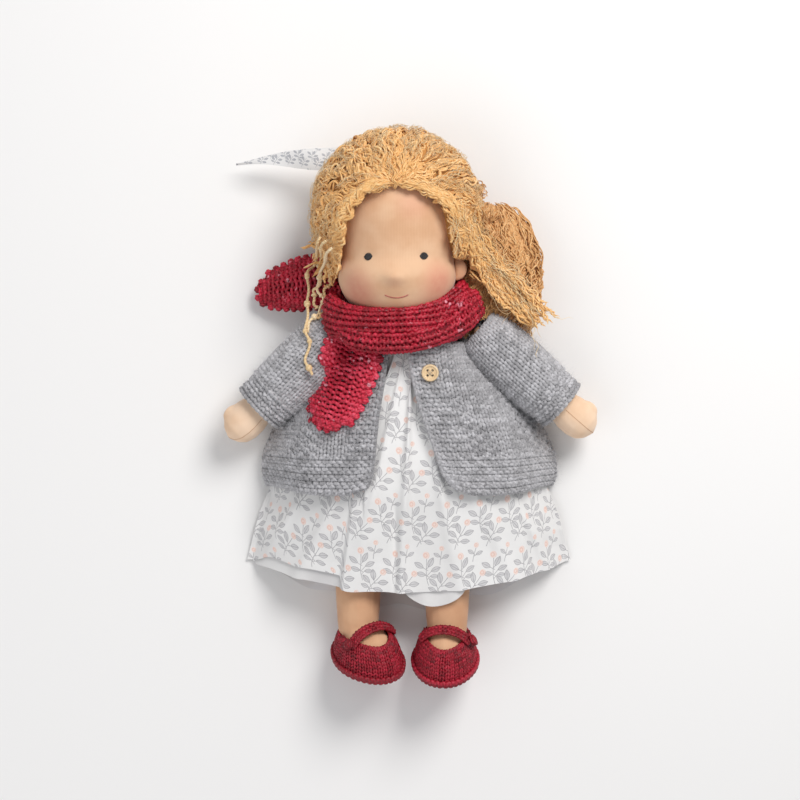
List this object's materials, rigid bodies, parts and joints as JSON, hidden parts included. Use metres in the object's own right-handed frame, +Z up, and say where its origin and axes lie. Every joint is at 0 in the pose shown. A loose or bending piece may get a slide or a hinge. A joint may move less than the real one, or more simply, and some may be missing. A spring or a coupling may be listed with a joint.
{
  "type": "cloth doll",
  "caption": "Stuffed cloth doll lying on its back, in a printed dress, open knitted cardigan, wrapped scarf and strapped knitted shoes.",
  "frame": {"origin": "middle of the doll's outline on the surface it lies on", "axes": "+Z up out of the face, +Y to the top of the head, +X to the doll's own left"},
  "size_m": [0.2686, 0.3937, 0.0956],
  "materials": {
    "skin_jersey": "fine ribbed cotton jersey, matt",
    "eye_thread": "dark stitched thread",
    "lip_thread": "red stitched thread",
    "hair_yarn": "curly golden mohair yarn",
    "print_cotton": "thin cotton with a small printed sprig",
    "button_wood": "smooth pale wood",
    "sewing_thread": "plain thread",
    "mohair_knit": "fluffy hand knit, blue grey",
    "wine_knit": "chunky hand knit, dark red",
    "crimson_knit": "tight hand knit, crimson"
  },
  "bodies": {
    "torso": {"torso": "skin_jersey", "dress_neckband": "print_cotton", "dress_front": "print_cotton", "dress_back": "print_cotton", "cardigan_back": "mohair_knit", "cardigan_front_left": "mohair_knit", "cardigan_front_right": "mohair_knit", "cardigan_button": "button_wood", "button_thread": "sewing_thread", "scarf_wrap": "wine_knit", "scarf_fold": "wine_knit", "scarf_tail_front": "wine_knit", "scarf_tail_side": "wine_knit"},
    "head": {"head": "skin_jersey", "eye_left": "eye_thread", "eye_right": "eye_thread", "ear_left": "skin_jersey", "mouth": "lip_thread", "hair_cap": "hair_yarn", "hair_mass": "hair_yarn", "hair_ribbon": "print_cotton", "hair_lock": "hair_yarn"},
    "shoulder_left": {"arm_stitching_left": "sewing_thread"},
    "arm_left": {"arm_left": "skin_jersey", "sleeve_left": "mohair_knit"},
    "leg_left": {"leg_left": "skin_jersey", "shoe_upper_left": "crimson_knit", "shoe_sole_left": "crimson_knit", "shoe_button_left": "crimson_knit"},
    "strap_left": {"shoe_strap_left": "crimson_knit"},
    "shoulder_right": {"arm_stitching_right": "sewing_thread"},
    "arm_right": {"arm_right": "skin_jersey", "sleeve_right": "mohair_knit"},
    "leg_right": {"leg_right": "skin_jersey", "shoe_upper_right": "crimson_knit", "shoe_sole_right": "crimson_knit", "shoe_button_right": "crimson_knit"},
    "strap_right": {"shoe_strap_right": "crimson_knit"}
  },
  "joints": [
    {"name": "neck_turn", "type": "hinge", "parent": "torso", "child": "head", "pos_m": [-0.0097, 0.0479, 0.048], "axis": [0, 1, 0], "range_deg": [-45, 45], "deforming": ["hair_mass", "hair_lock"]},
    {"name": "left_arm_forward", "type": "hinge", "parent": "torso", "child": "shoulder_left", "pos_m": [0.0569, 0.0459, 0.032], "axis": [-1, 0, 0], "range_deg": [0, 90]},
    {"name": "left_arm_raise", "type": "hinge", "parent": "shoulder_left", "child": "arm_left", "pos_m": [0.0569, 0.0459, 0.032], "axis": [0, 0, 1], "range_deg": [0, 60]},
    {"name": "right_arm_forward", "type": "hinge", "parent": "torso", "child": "shoulder_right", "pos_m": [-0.0591, 0.0459, 0.032], "axis": [-1, 0, 0], "range_deg": [0, 90], "deforming": ["scarf_tail_front"]},
    {"name": "right_arm_raise", "type": "hinge", "parent": "shoulder_right", "child": "arm_right", "pos_m": [-0.0591, 0.0459, 0.032], "axis": [0, 0, -1], "range_deg": [0, 60], "deforming": ["scarf_tail_side"]},
    {"name": "left_hip", "type": "hinge", "parent": "torso", "child": "leg_left", "pos_m": [0.0264, -0.0921, 0.022], "axis": [-1, 0, 0], "range_deg": [0, 90], "deforming": ["dress_front"]},
    {"name": "left_strap", "type": "hinge", "parent": "leg_left", "child": "strap_left", "pos_m": [0.00658, -0.1655, 0.03988], "axis": [-0.1045, -0.4515, 0.8861], "range_deg": [0, 70]},
    {"name": "right_hip", "type": "hinge", "parent": "torso", "child": "leg_right", "pos_m": [-0.0376, -0.0921, 0.022], "axis": [-1, 0, 0], "range_deg": [0, 90]},
    {"name": "right_strap", "type": "hinge", "parent": "leg_right", "child": "strap_right", "pos_m": [-0.01221, -0.16057, 0.03021], "axis": [-0.5446, 0.3807, -0.7473], "range_deg": [0, 70]}
  ]
}
